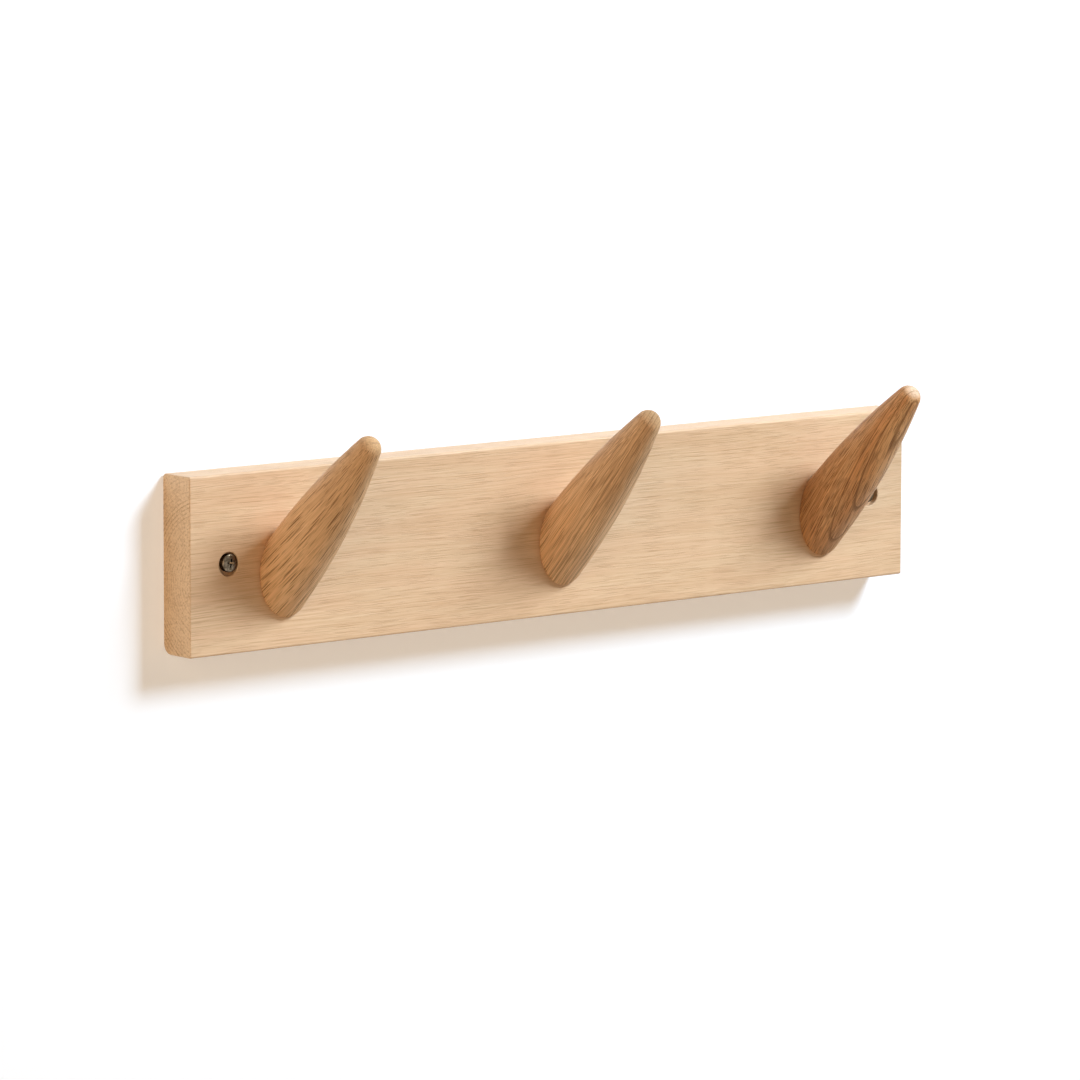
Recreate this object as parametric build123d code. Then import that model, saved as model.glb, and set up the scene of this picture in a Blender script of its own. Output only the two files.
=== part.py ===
"""Wall hook rack: an oak board that carries three leaning turned pegs.

Each peg is held from behind by one countersunk wood screw and kept from turning by a dowel.
Two pan-head screws in counterbored holes fix the board to the wall from the front.

Frame, in millimetres: the origin is the middle of the board's back face, which lies on the wall.
X runs along the board, Z is up, and the room is towards -Y.
"""

import math
import os

from build123d import *

# Board
board_length = 480.0
board_height = 90.0
board_thickness = 22.0
back_top_edge_radius = 2.0  # rounding of the upper long edge against the wall
back_bottom_edge_radius = 5.5  # rounding of the lower long edge against the wall
front_edge_radius = 1.2  # eased long edges towards the room
end_edge_radius = 0.8  # eased edges round the two sawn ends

# Pegs: a straight butt that runs into an ogive and ends in a round nose
peg_names = ("left", "centre", "right")
peg_end_margin = 59.0  # from the board's end to the middle of the outer pegs
peg_drop = 8.0  # how far the middle of a peg's base lies below the board's centre line
peg_lean = 46.0  # degrees, from straight out of the wall towards straight up
peg_butt_radius = 16.4
peg_nose_radius = 6.5
peg_reach = 95.4  # along the peg's axis, from its base to the centre of its nose
peg_base_radius = 1.5  # eased edge where the peg meets the board

# Wood screw that holds each peg, driven from the back of the board
peg_screw_rise = 13.0  # above the middle of the peg's base, where the load pulls hardest
peg_screw_bite = 18.4  # length inside the peg
peg_screw_thread_radius = 2.0
peg_screw_shank_radius = 1.45
peg_screw_head_radius = 4.0
peg_screw_head_rim = 0.5  # height of the short straight rim of the countersunk head
peg_screw_sink = 0.4  # head below the back face, so that the board lies flat
peg_screw_recess_span = 4.6

# Dowel that keeps each peg from turning
dowel_radius = 3.0
dowel_length = 18.0
dowel_in_board = 10.0
dowel_below_base = 6.0  # below the middle of the peg's base
dowel_chamfer = 0.7

# Wall screws, seen from the front
wall_screw_names = ("left", "right")
wall_hole_end_margin = 24.0  # from the board's end to the middle of the screw's hole
wall_screw_inset = 0.8  # how far each screw stands off its hole's middle towards the other one
wall_screw_rise = 0.5  # how far each screw stands above its hole's middle
wall_screw_turn = 8.0  # degrees that each cross recess stopped from upright, left and right mirrored
wall_screw_bite = 31.0  # length that stands out behind the board
wall_screw_thread_radius = 2.25
wall_screw_shank_radius = 1.65
wall_screw_head_radius = 4.6
wall_screw_head_height = 3.9
wall_screw_head_rim = 3.0  # straight side of the pan head, below its dome
wall_screw_recess_span = 4.4
counterbore_radius = 6.0
counterbore_depth = 3.0
counterbore_rim_chamfer = 0.35

# What every screw shares
screw_point_length = 6.0
thread_run_in = 0.8  # cone between the smooth shank and the thread
recess_depth_share = 0.5  # of the recess's span
recess_wing_share = 0.22  # of the recess's span
recess_foot_share = 0.45  # how much of the cross's span is left at the bottom of the recess
recess_foot_wing_share = 0.7  # how much of its wings' width is left there

# Clearances
shank_hole_clearance = 0.25  # round a peg screw's thread where it passes through the board
wall_hole_clearance = 1.1  # round a wall screw's thread, so that the board can be levelled
thread_hole_clearance = 0.05  # round a thread in the wood that it holds in
seat_clearance = 0.05  # under a countersunk head
dowel_clearance = 0.05
blind_hole_spare = 1.0  # a blind hole is this much deeper than what goes in

front = -board_thickness
base_centre_z = -peg_drop
peg_pitch = (board_length - 2 * peg_end_margin) / (len(peg_names) - 1)
wall_screw_length = wall_screw_bite + board_thickness - counterbore_depth
peg_screw_length = peg_screw_bite + board_thickness - peg_screw_sink
dowel_in_peg = dowel_length - dowel_in_board


def facing_room(x, y, z):
    """A plane square to the wall whose normal points into the room."""
    return Plane(origin=(x, y, z), x_dir=(1, 0, 0), z_dir=(0, -1, 0))


def facing_wall(x, y, z):
    """A plane square to the wall whose normal points at the wall."""
    return Plane(origin=(x, y, z), x_dir=(1, 0, 0), z_dir=(0, 1, 0))


def rod(radius, height):
    """A cylinder that starts at the plane it is placed on and follows its normal."""
    return Cylinder(radius, height, align=(Align.CENTER, Align.CENTER, Align.MIN))


def turned(profile):
    """The solid that a closed profile in the XZ plane leaves when it turns about Z."""
    return revolve(make_face(profile), Axis.Z)


def cross_recess(span, top_z):
    """A cross-shaped pit that narrows towards its foot, sunk from top_z."""

    def cross(size, wing, z):
        return Pos(0, 0, z) * (Rectangle(size, wing) + Rectangle(wing, size))

    wing = span * recess_wing_share
    mouth = cross(span, wing, top_z)
    foot_z = top_z - span * recess_depth_share
    foot = cross(span * recess_foot_share, wing * recess_foot_wing_share, foot_z)
    return loft([mouth, foot], ruled=True)


def screw_shaft(shank_radius, thread_radius, shank_length, length):
    """Profile points of a screw below its head, from the head's underside at z = 0 to the point."""
    return [
        (shank_radius, 0, 0),
        (shank_radius, 0, -shank_length),
        (thread_radius, 0, -shank_length - thread_run_in),
        (thread_radius, 0, screw_point_length - length),
        (0, 0, -length),
    ]


def pan_head_screw(turn):
    """A wall screw with its seat at z = 0 and its head above it."""
    radius = wall_screw_head_radius
    height = wall_screw_head_height
    rim = wall_screw_head_rim
    dome = height - rim
    dome_radius = (radius**2 + dome**2) / (2 * dome)
    half_angle = math.asin(radius / dome_radius) / 2
    dome_middle = (
        dome_radius * math.sin(half_angle),
        0,
        height - dome_radius * (1 - math.cos(half_angle)),
    )
    shaft = screw_shaft(
        wall_screw_shank_radius,
        wall_screw_thread_radius,
        board_thickness - counterbore_depth,
        wall_screw_length,
    )
    head = ThreePointArc((0, 0, height), dome_middle, (radius, 0, rim))
    outline = Polyline([(radius, 0, rim), (radius, 0, 0), *shaft, (0, 0, height)])
    return turned(head + outline) - Rot(0, 0, turn) * cross_recess(wall_screw_recess_span, height)


def countersunk_head(extra):
    """The head of a peg screw with its flat top at z = 0, grown all round by extra."""
    radius = peg_screw_head_radius + extra
    rim = peg_screw_head_rim
    cone = radius - peg_screw_shank_radius
    foot = (peg_screw_shank_radius, 0, -rim - cone)
    profile = [(0, 0, 0), (radius, 0, 0), (radius, 0, -rim), foot, (0, 0, -rim - cone)]
    return turned(Polyline(*profile, close=True))


def peg_screw():
    """A countersunk wood screw with its flat top at z = 0."""
    shank_length = board_thickness - peg_screw_sink - thread_run_in
    shaft = screw_shaft(peg_screw_shank_radius, peg_screw_thread_radius, shank_length, peg_screw_length)
    body = turned(Polyline((0, 0, 0), *shaft, close=True))
    return body + countersunk_head(0) - cross_recess(peg_screw_recess_span, 0)


def dowel():
    """A dowel pin from z = 0 upwards, with both ends chamfered."""
    pin = rod(dowel_radius, dowel_length)
    return chamfer(pin.edges().filter_by(GeomType.CIRCLE), dowel_chamfer)


def peg_x(index):
    return (index - (len(peg_names) - 1) / 2) * peg_pitch


def wall_hole_x(index):
    return (2 * index - 1) * (board_length / 2 - wall_hole_end_margin)


def wall_screw_x(index):
    return wall_hole_x(index) - (2 * index - 1) * wall_screw_inset


def peg_screw_top(x):
    """Where a peg screw's head lies, looking at the back of the board."""
    return facing_wall(x, -peg_screw_sink, base_centre_z + peg_screw_rise)


def dowel_start(x):
    """Where a dowel starts inside the board."""
    return facing_room(x, front + dowel_in_board, base_centre_z - dowel_below_base)


def board():
    """The oak board with its counterbored wall holes, peg screw holes and dowel sockets."""
    plank = Pos(0, front / 2, 0) * Box(board_length, board_thickness, board_height)
    bottom_back = plank.edges().filter_by(Axis.X).group_by(Axis.Y)[-1].sort_by(Axis.Z)[0]
    plank = fillet(bottom_back, back_bottom_edge_radius)
    top_back = plank.edges().filter_by(Axis.X).group_by(Axis.Y)[-1].sort_by(Axis.Z)[-1]
    plank = fillet(top_back, back_top_edge_radius)
    plank = fillet(plank.edges().filter_by(Axis.X).group_by(Axis.Y)[0], front_edge_radius)
    for end in (Axis.X, -Axis.X):
        plank = fillet(plank.faces().sort_by(end)[-1].edges(), end_edge_radius)

    wall_hole = rod(wall_screw_thread_radius + wall_hole_clearance, board_thickness)
    counterbore = rod(counterbore_radius, counterbore_depth)
    rim = Cone(
        counterbore_radius,
        counterbore_radius + counterbore_rim_chamfer,
        counterbore_rim_chamfer,
        align=(Align.CENTER, Align.CENTER, Align.MIN),
    )
    for index in range(len(wall_screw_names)):
        x = wall_hole_x(index)
        plank -= facing_room(x, 0, 0) * wall_hole
        plank -= facing_room(x, front + counterbore_depth, 0) * counterbore
        plank -= facing_room(x, front + counterbore_rim_chamfer, 0) * rim

    screw_hole = rod(peg_screw_thread_radius + shank_hole_clearance, board_thickness)
    head_seat = countersunk_head(seat_clearance)
    mouth = rod(peg_screw_head_radius + seat_clearance, peg_screw_sink)
    socket = rod(dowel_radius + dowel_clearance, dowel_in_board + blind_hole_spare)
    for index in range(len(peg_names)):
        x = peg_x(index)
        plank -= facing_room(x, 0, base_centre_z + peg_screw_rise) * screw_hole
        plank -= peg_screw_top(x) * head_seat
        plank -= peg_screw_top(x) * mouth
        plank -= facing_wall(x, front, base_centre_z - dowel_below_base) * socket
    return plank


def peg(x):
    """A turned oak peg, cut off flat where it meets the board, with its screw and dowel holes."""
    lean = math.radians(peg_lean)
    growth = peg_butt_radius - peg_nose_radius
    ogive_radius = (peg_reach**2 + peg_butt_radius**2 - peg_nose_radius**2) / (2 * growth)
    nose_angle = math.asin(peg_reach / (ogive_radius - peg_nose_radius))
    half_angle = nose_angle / 2
    ogive_centre_r = peg_butt_radius - ogive_radius

    def on_ogive(angle):
        return (ogive_centre_r + ogive_radius * math.cos(angle), 0, ogive_radius * math.sin(angle))

    def on_nose(angle):
        return (peg_nose_radius * math.cos(angle), 0, peg_reach + peg_nose_radius * math.sin(angle))

    nose_end = math.pi / 2
    butt_foot = -2 * peg_butt_radius / math.tan(math.pi / 2 - lean)
    side = ThreePointArc(on_ogive(0), on_ogive(half_angle), on_ogive(nose_angle))
    nose = ThreePointArc(on_ogive(nose_angle), on_nose((nose_angle + nose_end) / 2), on_nose(nose_end))
    foot = (peg_butt_radius, 0, butt_foot)
    axis_and_butt = Polyline(on_nose(nose_end), (0, 0, butt_foot), foot, on_ogive(0))
    blank = turned(side + nose + axis_and_butt)

    along = Plane(
        origin=(x, front, base_centre_z),
        x_dir=(1, 0, 0),
        z_dir=(0, -math.cos(lean), math.sin(lean)),
    )
    room = facing_room(x, front, base_centre_z)
    cutter_size = 2 * (peg_reach + 2 * peg_butt_radius)
    body = (along * blank) & (room * extrude(Rectangle(cutter_size, cutter_size), cutter_size))
    base = body.faces().sort_by(Axis.Y)[-1]
    body = fillet(base.edges(), peg_base_radius)

    screw_hole = rod(
        peg_screw_thread_radius + thread_hole_clearance,
        peg_screw_bite + blind_hole_spare,
    )
    dowel_hole = rod(dowel_radius + dowel_clearance, dowel_in_peg + blind_hole_spare)
    body -= facing_room(x, front, base_centre_z + peg_screw_rise) * screw_hole
    body -= facing_room(x, front, base_centre_z - dowel_below_base) * dowel_hole
    return body


nodes = {"backboard": board()}
for index, name in enumerate(peg_names):
    x = peg_x(index)
    nodes[f"peg_{name}"] = peg(x)
    nodes[f"peg_screw_{name}"] = peg_screw_top(x) * peg_screw()
    nodes[f"peg_dowel_{name}"] = dowel_start(x) * dowel()
for index, name in enumerate(wall_screw_names):
    seat = facing_room(wall_screw_x(index), front + counterbore_depth, wall_screw_rise)
    turn = (2 * index - 1) * wall_screw_turn
    nodes[f"wall_screw_{name}"] = seat * pan_head_screw(turn)

os.makedirs("parts", exist_ok=True)
for name, shape in nodes.items():
    export_step(shape, f"parts/{name}.step")
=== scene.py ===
import math

import bmesh
import bpy
from mathutils import Matrix, Vector


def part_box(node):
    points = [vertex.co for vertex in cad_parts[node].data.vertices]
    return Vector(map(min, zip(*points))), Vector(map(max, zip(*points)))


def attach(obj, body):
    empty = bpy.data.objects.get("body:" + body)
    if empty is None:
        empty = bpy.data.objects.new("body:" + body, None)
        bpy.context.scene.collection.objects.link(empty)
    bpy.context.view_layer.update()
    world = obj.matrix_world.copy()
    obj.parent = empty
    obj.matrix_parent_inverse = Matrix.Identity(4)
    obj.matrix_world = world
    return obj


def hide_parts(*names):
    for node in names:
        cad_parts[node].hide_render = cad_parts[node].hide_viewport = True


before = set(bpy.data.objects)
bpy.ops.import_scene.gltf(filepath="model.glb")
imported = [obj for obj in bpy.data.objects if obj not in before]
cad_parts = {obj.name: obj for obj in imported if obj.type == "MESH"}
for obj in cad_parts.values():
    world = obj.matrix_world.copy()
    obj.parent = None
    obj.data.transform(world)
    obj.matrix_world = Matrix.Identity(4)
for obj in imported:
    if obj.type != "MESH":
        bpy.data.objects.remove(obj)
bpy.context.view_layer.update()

# The backboard: one plank of oak, sawn with the growth rings slanting through it, planed,
# eased with a fine cutter at the front and rounded over against the wall, then lacquered matt.
# The solid from the CAD has its true shape, so it stays and gets the wood.

millimetre = 0.001


class Wire:
    """A socket in a material's node tree that ordinary Python arithmetic works on."""

    def __init__(self, socket):
        self.socket = socket
        self.tree = socket.id_data

    def node(self, kind, settings, inputs, output=0):
        """Adds a node of that kind: its settings first, then the values or wires of its inputs."""
        made = self.tree.nodes.new(kind)
        for key, value in settings.items():
            setattr(made, key, value)
        for key, value in inputs.items():
            if isinstance(value, Wire):
                self.tree.links.new(value.socket, made.inputs[key])
            else:
                made.inputs[key].default_value = value
        return Wire(made.outputs[output])

    def math(self, operation, *values):
        inputs = dict(enumerate(values))
        return self.node("ShaderNodeMath", {"operation": operation}, inputs)

    def __add__(self, other):
        return self.math("ADD", self, other)

    __radd__ = __add__

    def __sub__(self, other):
        return self.math("SUBTRACT", self, other)

    def __rsub__(self, other):
        return self.math("SUBTRACT", other, self)

    def __mul__(self, other):
        return self.math("MULTIPLY", self, other)

    __rmul__ = __mul__

    def __truediv__(self, other):
        return self.math("DIVIDE", self, other)

    def __pow__(self, other):
        return self.math("POWER", self, other)

    def __abs__(self):
        return self.math("ABSOLUTE", self)

    def step(self, low, high):
        """0 below low, 1 above high and a soft rise between them."""
        inputs = {"Value": self, "From Min": low, "From Max": high}
        return self.node("ShaderNodeMapRange", {"interpolation_type": "SMOOTHSTEP"}, inputs)

    def blend(self, first, second):
        """The colour that goes from first to second as this wire goes from 0 to 1."""
        return self.node("ShaderNodeMix", {"data_type": "RGBA"}, {0: self, 6: first, 7: second}, 2)

    def split(self):
        """The three parts of a vector."""
        return [self.node("ShaderNodeSeparateXYZ", {}, {0: self}, part) for part in range(3)]


def new_finish(name):
    """A new material with its shader, and a wire that its other nodes can be built from."""
    material = bpy.data.materials.new(name)
    material.use_nodes = True
    shader = material.node_tree.nodes["Principled BSDF"]
    return material, shader, Wire(shader.outputs[0])


def solid_finish(name, origin=(0.0, 0.0, 0.0), tilt=0.0):
    """A new material with its shader and the wires of a point, in millimetres, and its normal.
    Both are read in a frame that stands at origin and is tilted about X."""
    material, shader, start = new_finish(name)
    turn = (tilt, 0.0, 0.0)
    place = {
        "Vector": start.node("ShaderNodeTexCoord", {}, {}, "Object"),
        "Location": origin,
        "Rotation": turn,
        "Scale": (millimetre, millimetre, millimetre),
    }
    facing = {"Vector": start.node("ShaderNodeTexCoord", {}, {}, "Normal"), "Rotation": turn}
    point = start.node("ShaderNodeMapping", {"vector_type": "TEXTURE"}, place)
    normal = start.node("ShaderNodeMapping", {"vector_type": "TEXTURE"}, facing)
    return material, shader, point, normal


def feed(shader, **wires):
    """Links wires to the shader's inputs, which are named here with _ for a space."""
    for key, wire in wires.items():
        wire.tree.links.new(wire.socket, shader.inputs[key.replace("_", " ")])


def cells(point, along, across, axis, seed):
    """The point in units of cells that are that long with the grain and that wide across it."""
    size = [across, across, across]
    size[axis] = along
    inverse = tuple(1.0 / value for value in size)
    moved = {0: point, 1: inverse, 2: (seed * 17.3, seed * 5.1, seed * 9.7)}
    return point.node("ShaderNodeVectorMath", {"operation": "MULTIPLY_ADD"}, moved)


def stretched(point, along, across, axis, seed, detail=2.0, output=0):
    """Noise that is drawn out along the grain, with its mean near 0.5."""
    place = cells(point, along, across, axis, seed)
    inputs = {"Vector": place, "Scale": 1.0, "Detail": detail, "Roughness": 0.55}
    return point.node("ShaderNodeTexNoise", {"noise_dimensions": "3D"}, inputs, output)


def dashes(point, along, across, axis, seed, width):
    """Vessels cut open: separate dashes, each as dark as chance has it, from 0 to 1."""
    place = cells(point, along, across, axis, seed)
    settings = {"voronoi_dimensions": "3D", "feature": "F1"}
    inputs = {"Vector": place, "Scale": 1.0, "Randomness": 1.0}
    distance = point.node("ShaderNodeTexVoronoi", settings, inputs, "Distance")
    chance = point.node("ShaderNodeTexVoronoi", settings, inputs, "Color").split()[0]
    return (1.0 - distance.step(0.6 * width, width)) * chance.step(0.1, 0.6)


def warped(point, along, across, axis, seed, reach):
    """The point moved sideways, up to that reach, so that what is drawn there wanders."""
    noise = stretched(point, along, across, axis, seed, detail=1.0, output="Color")
    push = [2.0 * reach, 2.0 * reach, 2.0 * reach]
    push[axis] = 0.0
    off_middle = {0: noise, 1: (0.5, 0.5, 0.5)}
    centred = noise.node("ShaderNodeVectorMath", {"operation": "SUBTRACT"}, off_middle)
    moved = {0: centred, 1: tuple(push), 2: point}
    return point.node("ShaderNodeVectorMath", {"operation": "MULTIPLY_ADD"}, moved)


def turned_flow(point, butt, share, slant):
    """The point as fibres have it that follow a flank turned about Z: they close up as the flank
    narrows from its butt radius, by that share, and wind round it at a slant in degrees."""
    x, y, z = point.split()
    narrowed = (x * x + y * y) / butt**2
    widen = (narrowed + 0.01) ** (-0.5 * share)
    drawn = point.node("ShaderNodeCombineXYZ", {}, {0: x * widen, 1: y * widen, 2: z})
    wound = {"Vector": drawn, "Angle": z * (math.tan(math.radians(slant)) / butt)}
    return point.node("ShaderNodeVectorRotate", {"rotation_type": "Z_AXIS"}, wound)


def years(point, axis, pith, rings, seed):
    """The distance from the pith line, and the early wood: up to 1 on each year's open-pored line."""
    parts = point.split()
    across = [part for part in range(3) if part != axis]
    offset = []
    for part, away, slope in zip(across, pith["place"], pith["drift"]):
        offset.append(parts[part] - away - parts[axis] * slope)
    radius = (offset[0] * offset[0] + offset[1] * offset[1]) ** 0.5
    gap = rings["gap"]
    line = rings["line"]
    faint = rings["elsewhere"]
    inner, outer = rings["strong"]
    count = radius / gap
    year = count.math("FLOOR", count)
    season = count - year
    luck = year.node("ShaderNodeTexWhiteNoise", {"noise_dimensions": "1D"}, {"W": year + seed})
    strong = radius.step(inner - gap, inner) * (1.0 - radius.step(outer, outer + gap))
    early = season.step(0.0, 0.2 * line) * (1.0 - season.step(0.25 * line, line))
    return radius, early * (0.4 + 0.6 * luck) * (faint + (1.0 - faint) * strong)


def hole_shade(point, place, radius, front):
    """Painted shade: how far the wood inside two holes is darkened, from just below the front face on."""
    along, inward, up = point.split()
    aside = abs(along) - place
    inside = 1.0 - ((aside * aside + up * up) ** 0.5).step(radius, radius + 0.3)
    return 0.3 * inside * inward.step(front + 0.3, front + 0.7)


def oak(name, axis, pith, rings, tones, seed, streak, vessels, lacquer, taper=None, bore=None, **frame_at):
    """Oak as a solid block, in millimetres, with its fibres along the axis.

    pith: the place of the pith line across the axis, and its drift along it.
    rings: the gap between years, the line as its open-pored share, that line's ink, the figure that it
        gives the wood, the deepening of the wood outwards, the two radii between which rings are
        strong, and how much of them shows elsewhere.
    streak: how strongly the fibres show.
    vessels: length, gap, width and depth of their dashes, the share of those that keeps to the rings,
        and the strength of the small flecks between them.
    taper: the flow along a turned flank, and painted shade towards the nose: darker where it is above
    zero, lighter where it is below.
    bore: place, radius and front of the holes whose insides get painted shade.
    """
    material, shader, point, normal = solid_finish(name, **frame_at)
    tone = {part: (*colour, 1.0) for part, colour in tones.items()}
    end = abs(normal.split()[axis]).step(0.55, 0.97)
    grain = point
    painted_nose_shade = 0.0
    if taper is not None:
        grain = turned_flow(point, taper["butt"], taper["share"], taper["slant"])
        # Painted shade along the peg: the wood turns darker towards the nose, and lighter where the share
        # is below zero.
        painted_nose_shade = taper["nose_shading"] * point.split()[2].step(20.0, 80.0)
    wander = {"along": 130.0, "across": 34.0, "axis": axis, "seed": seed, "reach": 2.6}
    radius, early = years(warped(point, **wander), axis, pith, rings, seed)
    grain = warped(grain, **wander)
    grain = warped(grain, along=16.0, across=7.0, axis=axis, seed=seed + 1, reach=0.3)

    length = vessels["length"]
    gap = vessels["gap"]
    width = vessels["width"]
    in_rings = vessels["in_rings"]
    cloud = stretched(grain, along=150.0, across=13.0, axis=axis, seed=seed + 2)
    tint = stretched(grain, along=60.0, across=9.0, axis=axis, seed=seed + 3)
    fibre = stretched(grain, along=2.0 * length, across=0.85 * gap, axis=axis, seed=seed + 4)
    fine = stretched(grain, along=30.0, across=0.4, axis=axis, seed=seed + 5)
    grit = stretched(point, along=1.0, across=1.0, axis=axis, seed=seed + 8)
    wide = dashes(grain, length, gap, axis, seed + 6, width)
    small = dashes(grain, 0.55 * length, 0.6 * gap, axis, seed + 7, 0.9 * width)
    pores = wide * (1.0 - in_rings + in_rings * early)
    pores = pores.math("MAXIMUM", pores, vessels["fleck"] * small)
    pores = pores.math("MAXIMUM", pores, rings["ink"] * early)

    inner, outer = rings["strong"]
    outwards = radius.step(inner, 1.3 * outer)
    depth = 0.45 + rings["figure"] * early + 0.7 * (cloud - 0.5) + painted_nose_shade + rings["deepening"] * outwards
    depth = depth + streak * (1.6 * (fibre - 0.5) + 1.1 * (fine - 0.5)) * (1.0 - 0.6 * end)
    wood = tint.step(0.35, 0.65).blend(tone["light"], tone["blush"])
    wood = depth.step(0.0, 1.0).blend(wood, tone["dark"])
    sawn = 0.25 + 0.55 * early + 1.6 * (grit - 0.5) + 0.5 * (cloud - 0.5)
    wood = end.blend(wood, sawn.step(0.0, 1.0).blend(tone["end_light"], tone["end_dark"]))
    wood = (pores * vessels["depth"] * (1.0 - 0.5 * end)).blend(wood, tone["pore"])
    if bore is not None:
        # Painted shade: the wood inside the counterbores is darkened.
        wood = hole_shade(point, **bore).blend(wood, tone["pore"])

    rough = 0.5 + 0.22 * pores + 0.12 * end + 0.16 * (fibre - 0.5)
    relief = 0.35 * fine + 0.55 * fibre - 1.8 * pores
    shape = {"Strength": 0.3, "Distance": 0.0002, "Height": relief}
    feed(shader, Base_Color=wood, Roughness=rough, Normal=relief.node("ShaderNodeBump", {}, shape))
    shader.inputs["Specular IOR Level"].default_value = 0.2
    shader.inputs["Coat Weight"].default_value = lacquer
    shader.inputs["Coat Roughness"].default_value = 0.5
    shader.inputs["Coat IOR"].default_value = 1.3
    return material


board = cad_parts["backboard"]
board_low, board_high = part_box("backboard")
hole_end_margin = 0.024
counterbore_radius = 0.006
# The painted shade inside the counterbores reaches this far past their wall.
shaded_rim = 0.0002
board_oak = oak(
    "board_oak",
    axis=0,
    pith={"place": (-34.0, -8.0), "drift": (0.0, 0.0)},
    rings={
        "gap": 1.9,
        "line": 0.5,
        "ink": 0.0,
        "figure": 0.3,
        "deepening": 0.0,
        "strong": (36.0, 45.0),
        "elsewhere": 0.5,
    },
    tones={
        "light": (0.805, 0.58, 0.385),
        "blush": (0.795, 0.545, 0.36),
        "dark": (0.62, 0.39, 0.225),
        "pore": (0.42, 0.235, 0.115),
        # The end tones are the end grain's own colour and painted light at once: lighter than the face
        # wood, they stand for light falling on the board's ends.
        "end_light": (0.85, 0.63, 0.43),
        "end_dark": (0.51, 0.325, 0.185),
    },
    seed=3.0,
    streak=0.55,
    vessels={
        "length": 30.0,
        "gap": 0.58,
        "width": 0.4,
        "depth": 0.6,
        "in_rings": 0.35,
        "fleck": 0.5,
    },
    lacquer=0.6,
    # Painted shade inside the two counterbores.
    bore={
        "place": (board_high.x - hole_end_margin) / millimetre,
        "radius": (counterbore_radius + shaded_rim) / millimetre,
        "front": board_low.y / millimetre,
    },
)
board.data.materials.clear()
board.data.materials.append(board_oak)

# Three dowels: fluted beech pins, chamfered at both ends and glued into the board and the pegs.
# Each one keeps its peg from turning, and disappears when the peg is screwed on.

sharp_from = math.radians(32.0)


def closed_piece(name, mesh, material, replaced, place):
    """Turns a finished bmesh into a piece that stands for one node of the CAD."""
    bmesh.ops.recalc_face_normals(mesh, faces=mesh.faces)
    mesh.transform(place)
    data = bpy.data.meshes.new(name)
    mesh.to_mesh(data)
    mesh.free()
    data.shade_smooth()
    data.set_sharp_from_angle(angle=sharp_from)
    piece = bpy.data.objects.new(name, data)
    bpy.context.scene.collection.objects.link(piece)
    data.materials.append(material)
    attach(piece, "root")
    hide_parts(replaced)


def skin(mesh, rows, first=None, last=None):
    """Quads between rows of points that go round, with optional poles at the two ends."""
    loops = [[mesh.verts.new(point) for point in row] for row in rows]
    count = len(loops[0])
    for one, two in zip(loops, loops[1:]):
        for i in range(count):
            j = (i + 1) % count
            mesh.faces.new((one[i], one[j], two[j], two[i]))
    for pole, loop in ((first, loops[0]), (last, loops[-1])):
        if pole is not None:
            tip = mesh.verts.new(pole)
            for i in range(count):
                mesh.faces.new((loop[i], loop[(i + 1) % count], tip))
    return loops


def beech(name):
    """Bare beech: plain pale wood with short dark flecks along the pin."""
    material, shader, point, _ = solid_finish(name)
    fibre = stretched(point, along=18.0, across=0.6, axis=1, seed=1.0)
    fleck = stretched(point, along=2.2, across=0.35, axis=1, seed=2.0).step(0.62, 0.7)
    wood = fibre.blend((0.66, 0.43, 0.25, 1.0), (0.56, 0.34, 0.19, 1.0))
    wood = (fleck * 0.6).blend(wood, (0.36, 0.19, 0.09, 1.0))
    rough = 0.55 + 0.2 * fleck
    shape = {"Strength": 0.2, "Distance": 0.0001, "Height": fibre}
    feed(shader, Base_Color=wood, Roughness=rough, Normal=fibre.node("ShaderNodeBump", {}, shape))
    return material


peg_names = ("left", "centre", "right")
into_room = Matrix.Rotation(math.radians(90.0), 4, "X")
dowel_radius = 0.003
dowel_chamfer = 0.0007
flute_depth = 0.00028
flutes = 16
flute_points = 6
dowel_beech = beech("dowel_beech")


def fluted(radius, z, depth):
    """A circle with flutes cut into it."""
    points = []
    for i in range(flutes * flute_points):
        angle = 2.0 * math.pi * i / (flutes * flute_points)
        groove = max(0.0, math.cos(angle * flutes)) ** 2 * depth
        points.append(((radius - groove) * math.cos(angle), (radius - groove) * math.sin(angle), z))
    return points


for peg_name in peg_names:
    low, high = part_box(f"peg_dowel_{peg_name}")
    length = high.y - low.y
    end_radius = dowel_radius - dowel_chamfer
    pin = bmesh.new()
    pin_rows = [
        fluted(end_radius, 0.0, flute_depth / 2),
        fluted(dowel_radius, dowel_chamfer, flute_depth),
        fluted(dowel_radius, length / 2, flute_depth),
        fluted(dowel_radius, length - dowel_chamfer, flute_depth),
        fluted(end_radius, length, flute_depth / 2),
    ]
    skin(pin, pin_rows, (0.0, 0.0, 0.0), (0.0, 0.0, length))
    middle = (low + high) / 2
    pin_place = Matrix.Translation((middle.x, high.y, middle.z)) @ into_room
    closed_piece(f"dowel_{peg_name}", pin, dowel_beech, f"peg_dowel_{peg_name}", pin_place)

# Three pegs: oak turned on a lathe to a straight butt, an ogive flank and a round nose, then sawn
# off at a slant and eased at the cut, so that each leans up from the board. Matt oil darkens them.

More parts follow.
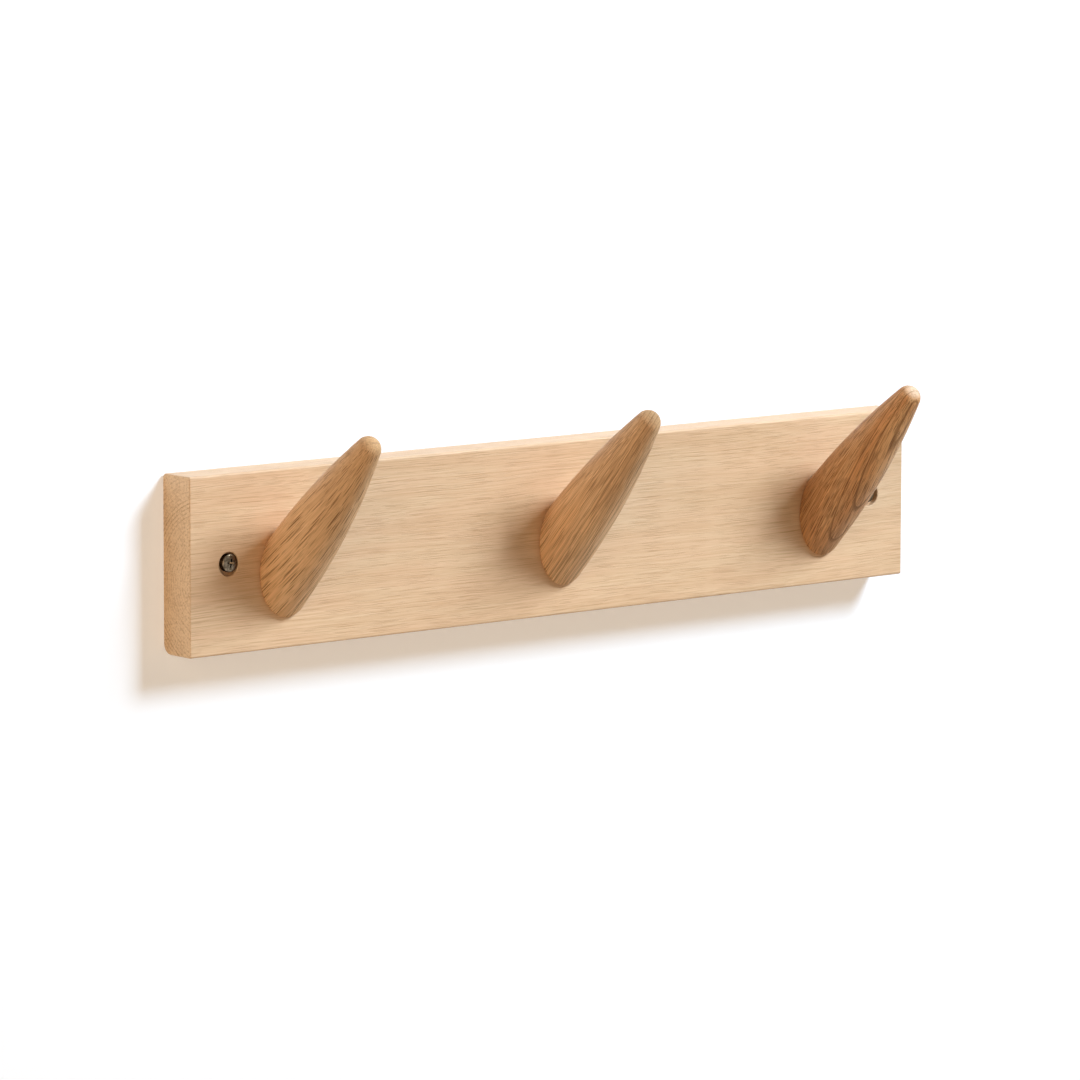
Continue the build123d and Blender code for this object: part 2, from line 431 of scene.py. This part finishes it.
peg_pitch = 0.181
peg_drop = 0.008
peg_lean = math.radians(46.0)
butt_radius = 0.0164
nose_radius = 0.0065
nose_centre = 0.0954
base_easing = 0.0015
ogive_radius = (nose_centre**2 + butt_radius**2 - nose_radius**2) / (2.0 * (butt_radius - nose_radius))
ogive_end = math.asin(nose_centre / (ogive_radius - nose_radius))
peg_points = 128
easing_steps = 6
flank_steps = 44
nose_steps = 12
hole_points = 32
halvings = 50
screw_hole = {"rise": 0.013, "radius": 0.00205, "depth": 0.0194}
dowel_hole = {"rise": -0.006, "radius": 0.00305, "depth": 0.009}


def ring(radius, z, count):
    """Points on a circle round the Z axis."""
    step = 2.0 * math.pi / count
    return [(radius * math.cos(i * step), radius * math.sin(i * step), z) for i in range(count)]


def flank(angle, inset=0.0):
    """Radius and height on the ogive, inset from the surface."""
    reach = ogive_radius - inset
    return butt_radius - ogive_radius + reach * math.cos(angle), reach * math.sin(angle)


def easing_centre(turn):
    """Where a ball that rolls in the edge between base and flank has its centre, and the angle on the
    flank that it touches."""
    radius = butt_radius - base_easing
    rise = math.cos(turn) * math.sin(peg_lean)
    height = (base_easing + radius * rise) / math.cos(peg_lean)
    angle = 0.0
    if height > 0.0:
        low, high = 0.0, ogive_end
        for _ in range(halvings):
            angle = (low + high) / 2.0
            radius, height = flank(angle, base_easing)
            above = height * math.cos(peg_lean) - radius * rise
            low, high = (angle, high) if above < base_easing else (low, angle)
    return radius, height, angle


def peg_rows():
    """Rows of points from the rim of the base over the eased edge and along the flank to the nose."""
    rows = [[] for _ in range(easing_steps + flank_steps + nose_steps)]
    to_board = Vector((0.0, math.sin(peg_lean), -math.cos(peg_lean)))
    for i in range(peg_points):
        turn = 2.0 * math.pi * i / peg_points
        outward = Vector((math.sin(turn), math.cos(turn), 0.0))
        radius, height, angle = easing_centre(turn)
        centre = outward * radius + Vector((0.0, 0.0, height))
        side = outward * math.cos(angle) + Vector((0.0, 0.0, math.sin(angle)))
        column = []
        for k in range(easing_steps + 1):
            column.append(centre + base_easing * to_board.slerp(side, k / easing_steps))
        start = column[-1].z
        end = flank(ogive_end)[1]
        for k in range(1, flank_steps + 1):
            z = start + (end - start) * k / flank_steps
            bend = math.asin(max(z, 0.0) / ogive_radius)
            column.append(outward * flank(bend)[0] + Vector((0.0, 0.0, z)))
        for k in range(1, nose_steps):
            bend = ogive_end + (math.pi / 2.0 - ogive_end) * k / nose_steps
            tip = Vector((0.0, 0.0, nose_centre + nose_radius * math.sin(bend)))
            column.append(outward * nose_radius * math.cos(bend) + tip)
        for row, point in zip(rows, column):
            row.append(point)
    return rows


def drilled_base(mesh, rim, holes):
    """Closes the base inside its rim, with round blind holes square to it."""
    inward = Vector((0.0, -math.sin(peg_lean), math.cos(peg_lean)))
    upward = Vector((0.0, math.cos(peg_lean), math.sin(peg_lean)))
    edges = [mesh.edges.get((rim[i - 1], rim[i])) for i in range(len(rim))]
    for hole in holes:
        mouth = []
        floor = []
        for x, y, _ in ring(hole["radius"], 0.0, hole_points):
            spot = upward * (hole["rise"] + y) + Vector((x, 0.0, 0.0))
            mouth.append(mesh.verts.new(spot))
            floor.append(mesh.verts.new(spot + inward * hole["depth"]))
        edges += [mesh.edges.new((mouth[i - 1], mouth[i])) for i in range(hole_points)]
        for i in range(hole_points):
            mesh.faces.new((mouth[i - 1], mouth[i], floor[i], floor[i - 1]))
        mesh.faces.new(floor)
    bmesh.ops.triangle_fill(mesh, use_beauty=True, edges=edges)


butt = butt_radius / millimetre
peg_wood = {
    "left": {
        "pith": {"place": (-20.0, -75.0), "drift": (0.076, -0.107)},
        "rings": {
            "gap": 4.2,
            "line": 0.5,
            "ink": 0.0,
            "figure": 0.12,
            "deepening": 0.0,
            "strong": (0.0, 200.0),
            "elsewhere": 0.5,
        },
        "tones": {
            "light": (0.82, 0.525, 0.292),
            "blush": (0.82, 0.50, 0.271),
            "dark": (0.565, 0.33, 0.165),
            "pore": (0.23, 0.12, 0.05),
            "end_light": (0.70, 0.43, 0.22),
            "end_dark": (0.44, 0.25, 0.12),
        },
        "seed": 11.0,
        "streak": 0.85,
        "vessels": {
            "length": 22.0,
            "gap": 0.8,
            "width": 0.42,
            "depth": 0.9,
            "in_rings": 0.0,
            "fleck": 0.6,
        },
        "taper": {"butt": butt, "share": 0.75, "slant": -8.0, "nose_shading": 0.3},
    },
    "centre": {
        "pith": {"place": (42.0, -59.0), "drift": (0.0, 0.0)},
        "rings": {
            "gap": 2.3,
            "line": 0.3,
            "ink": 0.7,
            "figure": 0.3,
            "deepening": 0.0,
            "strong": (55.0, 76.0),
            "elsewhere": 0.3,
        },
        "tones": {
            "light": (0.86, 0.57, 0.332),
            "blush": (0.84, 0.51, 0.274),
            "dark": (0.55, 0.322, 0.168),
            "pore": (0.19, 0.10, 0.042),
            "end_light": (0.50, 0.30, 0.15),
            "end_dark": (0.25, 0.135, 0.06),
        },
        "seed": 23.0,
        "streak": 1.1,
        "vessels": {
            "length": 60.0,
            "gap": 0.75,
            "width": 0.42,
            "depth": 0.95,
            "in_rings": 0.35,
            "fleck": 0.75,
        },
        "taper": {"butt": butt, "share": 0.85, "slant": 1.0, "nose_shading": 0.25},
    },
    "right": {
        "pith": {"place": (-7.5, -63.5), "drift": (0.022, 0.185)},
        "rings": {
            "gap": 4.0,
            "line": 0.2,
            "ink": 0.85,
            "figure": 0.9,
            "deepening": 0.4,
            "strong": (36.0, 49.0),
            "elsewhere": 0.08,
        },
        "tones": {
            "light": (0.735, 0.425, 0.21),
            "blush": (0.655, 0.306, 0.122),
            "dark": (0.42, 0.206, 0.085),
            "pore": (0.13, 0.058, 0.02),
            "end_light": (0.86, 0.61, 0.43),
            "end_dark": (0.54, 0.33, 0.20),
        },
        "seed": 37.0,
        "streak": 1.3,
        "vessels": {
            "length": 16.0,
            "gap": 0.75,
            "width": 0.42,
            "depth": 0.9,
            "in_rings": 0.2,
            "fleck": 0.9,
        },
        "taper": {"butt": butt, "share": 0.85, "slant": 8.0, "nose_shading": -0.2},
    },
}
from_upright = math.radians(90.0) - peg_lean
for place, peg_name in enumerate(peg_names):
    base_centre = ((place - 1) * peg_pitch, board_low.y, -peg_drop)
    standing = {"axis": 2, "origin": base_centre, "tilt": from_upright, "lacquer": 0.0}
    peg_oak = oak(f"peg_oak_{peg_name}", **standing, **peg_wood[peg_name])
    turned = bmesh.new()
    loops = skin(turned, peg_rows(), None, (0.0, 0.0, nose_centre + nose_radius))
    drilled_base(turned, loops[0], (screw_hole, dowel_hole))
    peg_place = Matrix.Translation(base_centre) @ Matrix.Rotation(from_upright, 4, "X")
    closed_piece(f"oak_peg_{peg_name}", turned, peg_oak, f"peg_{peg_name}", peg_place)

# Three peg screws: countersunk zinc-plated wood screws, driven from the back of the board into the
# pegs and left just under its face. The thread is rolled, with a bare shank below the head.

screw_points = 28
screw_point_length = 0.006
weld = 1e-6


def threaded(mesh, shank, crest, core, pitch, top, end):
    """A helical thread that runs from the shank, at z = top, down to the screw's point at z = end."""
    profile = ((0.0, 0.0), (0.30, 0.0), (0.42, 0.75), (0.48, 1.0), (0.54, 1.0), (0.66, 0.55), (0.82, 0.0))
    turns = math.ceil((top - end) / pitch) + 2
    run_in = 0.7 * pitch
    rows = []
    for turn in range(turns):
        for share, height in profile:
            row = []
            for i in range(screw_points + 1):
                angle = 2.0 * math.pi * i / screw_points
                z = end + (turn - 1 + share + i / screw_points) * pitch
                z = min(max(z, end), top)
                taper = min(1.0, (z - end) / screw_point_length)
                fade = min(1.0, (top - z) / run_in) * min(1.0, 0.2 + taper)
                radius = taper * core + (crest - core) * height * fade * min(1.0, 2.0 * taper)
                swell = max(0.0, 1.0 - (top - z) / run_in)
                radius += (shank - core) * swell
                row.append(mesh.verts.new((radius * math.cos(angle), radius * math.sin(angle), z)))
            rows.append(row)
    for one, two in zip(rows, rows[1:]):
        for i in range(screw_points):
            mesh.faces.new((one[i], one[i + 1], two[i + 1], two[i]))
    bmesh.ops.remove_doubles(mesh, verts=mesh.verts, dist=weld)
    bmesh.ops.dissolve_degenerate(mesh, edges=mesh.edges, dist=weld)


def steel(name, light, dark, stain, edge, rough):
    """Plated steel that varies in tone and gloss, with faint rolling marks and a tint at its edges."""
    material, shader, point, _ = solid_finish(name)
    patch = stretched(point, along=1.5, across=1.5, axis=1, seed=5.0, detail=3.0)
    marks = stretched(point, along=0.12, across=6.0, axis=1, seed=6.0)
    dents = stretched(point, along=1.0, across=1.0, axis=1, seed=7.0)
    metal = patch.step(0.3, 0.7).blend((*light, 1.0), (*dark, 1.0))
    metal = (patch.step(0.58, 0.75) * 0.5).blend(metal, (*stain, 1.0))
    shape = {"Strength": 0.3, "Distance": 0.0001, "Height": 0.3 * marks + 1.2 * dents}
    shader.inputs["Metallic"].default_value = 1.0
    shader.inputs["Specular Tint"].default_value = (*edge, 1.0)
    gloss = rough + 0.22 * (patch - 0.5) + 0.1 * (marks - 0.5)
    feed(shader, Base_Color=metal, Roughness=gloss, Normal=marks.node("ShaderNodeBump", {}, shape))
    return material


def recess_cutter(span, depth, top):
    """A tapered cross that stands a little proud of the head and ends in a blunt point."""
    wing = 0.22 * span
    proud = 0.0006
    cutter = bmesh.new()
    rows = []
    for z, span_share, wing_share in ((top + proud, 1.22, 1.1), (top - depth, 0.45, 0.7)):
        reach = span / 2.0 * span_share
        half = wing / 2.0 * wing_share
        corner = [(reach, -half), (reach, half), (half, half)]
        row = []
        for quarter in range(4):
            turn = Matrix.Rotation(quarter * math.pi / 2.0, 4, "Z")
            row += [turn @ Vector((x, y, z)) for x, y in corner]
        rows.append(row)
    skin(cutter, rows, (0.0, 0.0, top + proud), (0.0, 0.0, top - 1.25 * depth))
    bmesh.ops.recalc_face_normals(cutter, faces=cutter.faces)
    data = bpy.data.meshes.new("recess")
    cutter.to_mesh(data)
    cutter.free()
    return bpy.data.objects.new("recess", data)


def cut_recess(mesh, span, depth, top, turn):
    """Takes the cross recess out of a screw's head and returns the cut mesh."""
    data = bpy.data.meshes.new("blank")
    bmesh.ops.recalc_face_normals(mesh, faces=mesh.faces)
    mesh.to_mesh(data)
    mesh.free()
    blank = bpy.data.objects.new("blank", data)
    cutter = recess_cutter(span, depth, top)
    cutter.rotation_euler.z = turn
    for thing in (blank, cutter):
        bpy.context.scene.collection.objects.link(thing)
    cut = blank.modifiers.new("recess", "BOOLEAN")
    cut.operation = "DIFFERENCE"
    cut.solver = "EXACT"
    cut.object = cutter
    bpy.context.view_layer.update()
    finished = blank.evaluated_get(bpy.context.evaluated_depsgraph_get())
    result = bmesh.new()
    result.from_mesh(bpy.data.meshes.new_from_object(finished))
    for thing in (blank, cutter):
        bpy.data.objects.remove(thing)
    return result


def screw(shank, crest, core, pitch, thread_top, end, head):
    """A wood screw about Z: thread, shank, and a head given as (radius, z) rows from the shank up."""
    mesh = bmesh.new()
    threaded(mesh, shank, crest, core, pitch, thread_top, end)
    rows = [ring(radius, z, screw_points) for radius, z in [(shank, thread_top), *head]]
    skin(mesh, rows, None, (0.0, 0.0, head[-1][1]))
    bmesh.ops.remove_doubles(mesh, verts=mesh.verts, dist=2.0 * weld)
    return mesh


zinc_steel = steel(
    "zinc_steel",
    light=(0.66, 0.65, 0.62),
    dark=(0.50, 0.49, 0.46),
    stain=(0.55, 0.50, 0.36),
    edge=(1.0, 1.0, 1.0),
    rough=0.34,
)
back_shank = 0.00145
head_radius = 0.004
countersunk_head = (
    (back_shank, -0.00305),
    (0.00385, -0.00062),
    (head_radius, -0.00048),
    (head_radius, -0.00012),
    (0.00390, 0.0),
    (0.00300, 0.0),
)
out_of_wall = Matrix.Rotation(math.radians(-90.0), 4, "X")
for peg_name in peg_names:
    low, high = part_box(f"peg_screw_{peg_name}")
    blank = screw(
        shank=back_shank,
        crest=0.002,
        core=0.00128,
        pitch=0.0018,
        thread_top=-0.0208,
        end=low.y - high.y,
        head=countersunk_head,
    )
    driven = cut_recess(blank, span=0.0046, depth=0.0023, top=0.0, turn=math.radians(20.0))
    middle = (low + high) / 2
    screw_place = Matrix.Translation((middle.x, high.y, middle.z)) @ out_of_wall
    replaced = f"peg_screw_{peg_name}"
    closed_piece(f"back_screw_{peg_name}", driven, zinc_steel, replaced, screw_place)

# Two wall screws: dark burnished pan-head screws with a cross recess, sunk in counterbored holes
# near the board's ends. Their threads stand out behind, where plugs in the wall take them.

dark_steel = steel(
    "dark_steel",
    light=(0.19, 0.145, 0.10),
    dark=(0.055, 0.038, 0.022),
    stain=(0.22, 0.165, 0.10),
    edge=(0.32, 0.21, 0.11),
    rough=0.36,
)
counterbore_depth = 0.003
front_shank = 0.00165
pan_radius = 0.0046
rim_height = 0.003
dome_height = 0.0009
dome_radius = (pan_radius**2 + dome_height**2) / (2.0 * dome_height)
seat_easing = 0.0002
shoulder_drop = 0.0007
shoulder_inset = 0.0009
shoulder_steps = 6
dome_step = 0.0007
dome_rings = 4
recess_turn = math.radians(8.0)


def on_dome(radius):
    """A point of the pan head's shallow dome, as its radius and its height above the seat."""
    return radius, rim_height + dome_height - dome_radius + math.sqrt(dome_radius**2 - radius**2)


def on_shoulder(share):
    """A point of the round between the pan head's side and its dome, as its radius and height."""
    weights = ((1.0 - share) ** 2, 2.0 * (1.0 - share) * share, share**2)
    below = (pan_radius, rim_height - shoulder_drop)
    marks = (below, (pan_radius, rim_height), on_dome(pan_radius - shoulder_inset))
    return tuple(sum(weight * mark[part] for weight, mark in zip(weights, marks)) for part in range(2))


pan_head = [(front_shank, 0.0), (pan_radius - seat_easing, 0.0), (pan_radius, seat_easing)]
pan_head += [on_shoulder(k / shoulder_steps) for k in range(shoulder_steps + 1)]
pan_head += [on_dome(pan_radius - shoulder_inset - dome_step * k) for k in range(1, dome_rings + 1)]
seat = board_low.y + counterbore_depth
for side, turn in (("left", -recess_turn), ("right", recess_turn)):
    low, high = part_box(f"wall_screw_{side}")
    blank = screw(
        shank=front_shank,
        crest=0.00225,
        core=0.00145,
        pitch=0.002,
        thread_top=-0.0190,
        end=seat - high.y,
        head=pan_head,
    )
    driven = cut_recess(blank, span=0.0044, depth=0.0022, top=rim_height + dome_height, turn=turn)
    middle = (low + high) / 2
    screw_place = Matrix.Translation((middle.x, seat, middle.z)) @ into_room
    replaced = f"wall_screw_{side}"
    closed_piece(f"front_screw_{side}", driven, dark_steel, replaced, screw_place)

# The room: a white wall that the board lies on and a pale floor below it. The wall is open where the
# board covers it. Wall and floor show only their room side, so that the rack can be seen from behind
# and from below too.

wall_gap = 0.0002


def sees_directly(start):
    """1 for what the camera, a mirror or glass looks at, and 0 for light on its way to the rack."""
    kinds = ("Camera", "Glossy", "Transmission")
    rays = [start.node("ShaderNodeLightPath", {}, {}, f"Is {kind} Ray") for kind in kinds]
    return start.math("MAXIMUM", start.math("MAXIMUM", rays[0], rays[1]), rays[2])


def white_paint(name, bounce, lit, glow):
    """White paint with a colour that takes light and a glow that doesn't. What it throws back on the
    rack is set apart from both, which only the eye and mirrors see. It is clear from behind, and
    for light that reaches the board's back."""
    material, shader, start = new_finish(name)
    seen = sees_directly(start)
    shine = seen.blend((0.0, 0.0, 0.0, 1.0), (*glow, 1.0))
    white = seen.blend((*bounce, 1.0), (*lit, 1.0))
    shader.inputs["Roughness"].default_value = 1.0
    shader.inputs["Specular IOR Level"].default_value = 0.0
    shader.inputs["Emission Strength"].default_value = 1.0
    feed(shader, Base_Color=white, Emission_Color=shine)
    behind = start.node("ShaderNodeNewGeometry", {}, {}, "Backfacing")
    way = start.node("ShaderNodeLightPath", {}, {}, "Ray Length")
    from_board = start.math("LESS_THAN", way, 3.0 * wall_gap)
    passed = start.math("MAXIMUM", behind, from_board)
    clear = start.node("ShaderNodeBsdfTransparent", {}, {})
    one_sided = start.node("ShaderNodeMixShader", {}, {0: passed, 1: start, 2: clear})
    feed(material.node_tree.nodes["Material Output"], Surface=one_sided)
    return material


def stage_plane(name, corners, faces, material):
    """A flat part of the room, which isn't part of the rack."""
    data = bpy.data.meshes.new(name)
    data.from_pydata(corners, [], faces)
    data.materials.append(material)
    plane = bpy.data.objects.new(name, data)
    bpy.context.scene.collection.objects.link(plane)


wall_y = board_high.y + wall_gap
covered = 0.007
room_side = 2.0
room_front = -3.0
room_top = 1.6
floor_z = -0.6
outer = ((-room_side, floor_z), (room_side, floor_z), (room_side, room_top), (-room_side, room_top))
inner_x = board_high.x - covered
inner_z = board_high.z - covered
inner = ((-inner_x, -inner_z), (inner_x, -inner_z), (inner_x, inner_z), (-inner_x, inner_z))
wall_corners = [(x, wall_y, z) for x, z in outer + inner]
wall_faces = [(i, (i + 1) % 4, (i + 1) % 4 + 4, i + 4) for i in range(4)]
wall_white = white_paint(
    "wall_white",
    bounce=(0.88, 0.87, 0.85),
    lit=(0.63, 0.71, 0.82),
    glow=(0.42, 0.34, 0.28),
)
stage_plane("wall", wall_corners, wall_faces, wall_white)
floor_corners = [
    (-room_side, room_front, floor_z),
    (room_side, room_front, floor_z),
    (room_side, wall_y, floor_z),
    (-room_side, wall_y, floor_z),
]
floor_white = white_paint(
    "floor_white",
    bounce=(0.34, 0.275, 0.195),
    lit=(0.45, 0.50, 0.55),
    glow=(0.70, 0.63, 0.60),
)
stage_plane("floor", floor_corners, [(0, 1, 2, 3)], floor_white)

# The light: one large soft key from the upper right, a weaker warm fill from the left, and a lamp
# behind the wall that only the back of the rack can see. What is left of the room is plain white.


def soft_lamp(name, place, size, power, colour):
    """A square lamp that faces the middle of the rack."""
    lamp = bpy.data.lights.new(name, "AREA")
    lamp.size = size
    lamp.energy = power
    lamp.color = colour
    holder = bpy.data.objects.new(name, lamp)
    holder.location = place
    holder.rotation_euler = (-Vector(place)).to_track_quat("-Z", "Y").to_euler()
    bpy.context.scene.collection.objects.link(holder)


key_place = Vector((0.731, -1.0, 0.991)).normalized() * 3.2
fill_place = Vector((-0.85, -0.5, 0.12)).normalized() * 2.6
soft_lamp("key", key_place, size=1.05, power=146.0, colour=(0.80, 0.92, 1.0))
soft_lamp("fill", fill_place, size=1.6, power=24.5, colour=(1.0, 0.71, 0.43))
soft_lamp("behind", (-0.9, 1.6, 0.9), size=1.2, power=20.0, colour=(1.0, 1.0, 1.0))
world = bpy.data.worlds.new("studio")
bpy.context.scene.world = world
world.use_nodes = True
surroundings = world.node_tree.nodes["Background"]
seen_white = sees_directly(Wire(surroundings.outputs[0]))
feed(surroundings, Color=seen_white.blend((0.056, 0.044, 0.031, 1.0), (1.0, 1.0, 1.0, 1.0)))

# The camera: a long lens that stands to the left of the rack and a little above it, and frames the
# rack as the photograph does.

camera_turn = math.radians(40.114)
camera_rise = math.radians(7.504)
camera_roll = math.radians(0.144)
camera_distance = 3.2352
backwards = Vector((
    -math.sin(camera_turn) * math.cos(camera_rise),
    -math.cos(camera_turn) * math.cos(camera_rise),
    math.sin(camera_rise),
))
lens = bpy.data.cameras.new("camera")
lens.sensor_width = 36.0
lens.lens = 208.31
lens.shift_x = 0.00432
lens.shift_y = -0.01509
lens.clip_end = 20.0
camera = bpy.data.objects.new("camera", lens)
stand = Matrix.Translation(backwards * camera_distance)
aim = backwards.to_track_quat("Z", "Y").to_matrix().to_4x4()
camera.matrix_world = stand @ aim @ Matrix.Rotation(camera_roll, 4, "Z")
bpy.context.scene.collection.objects.link(camera)
bpy.context.scene.camera = camera
bpy.context.scene.view_settings.view_transform = "Standard"
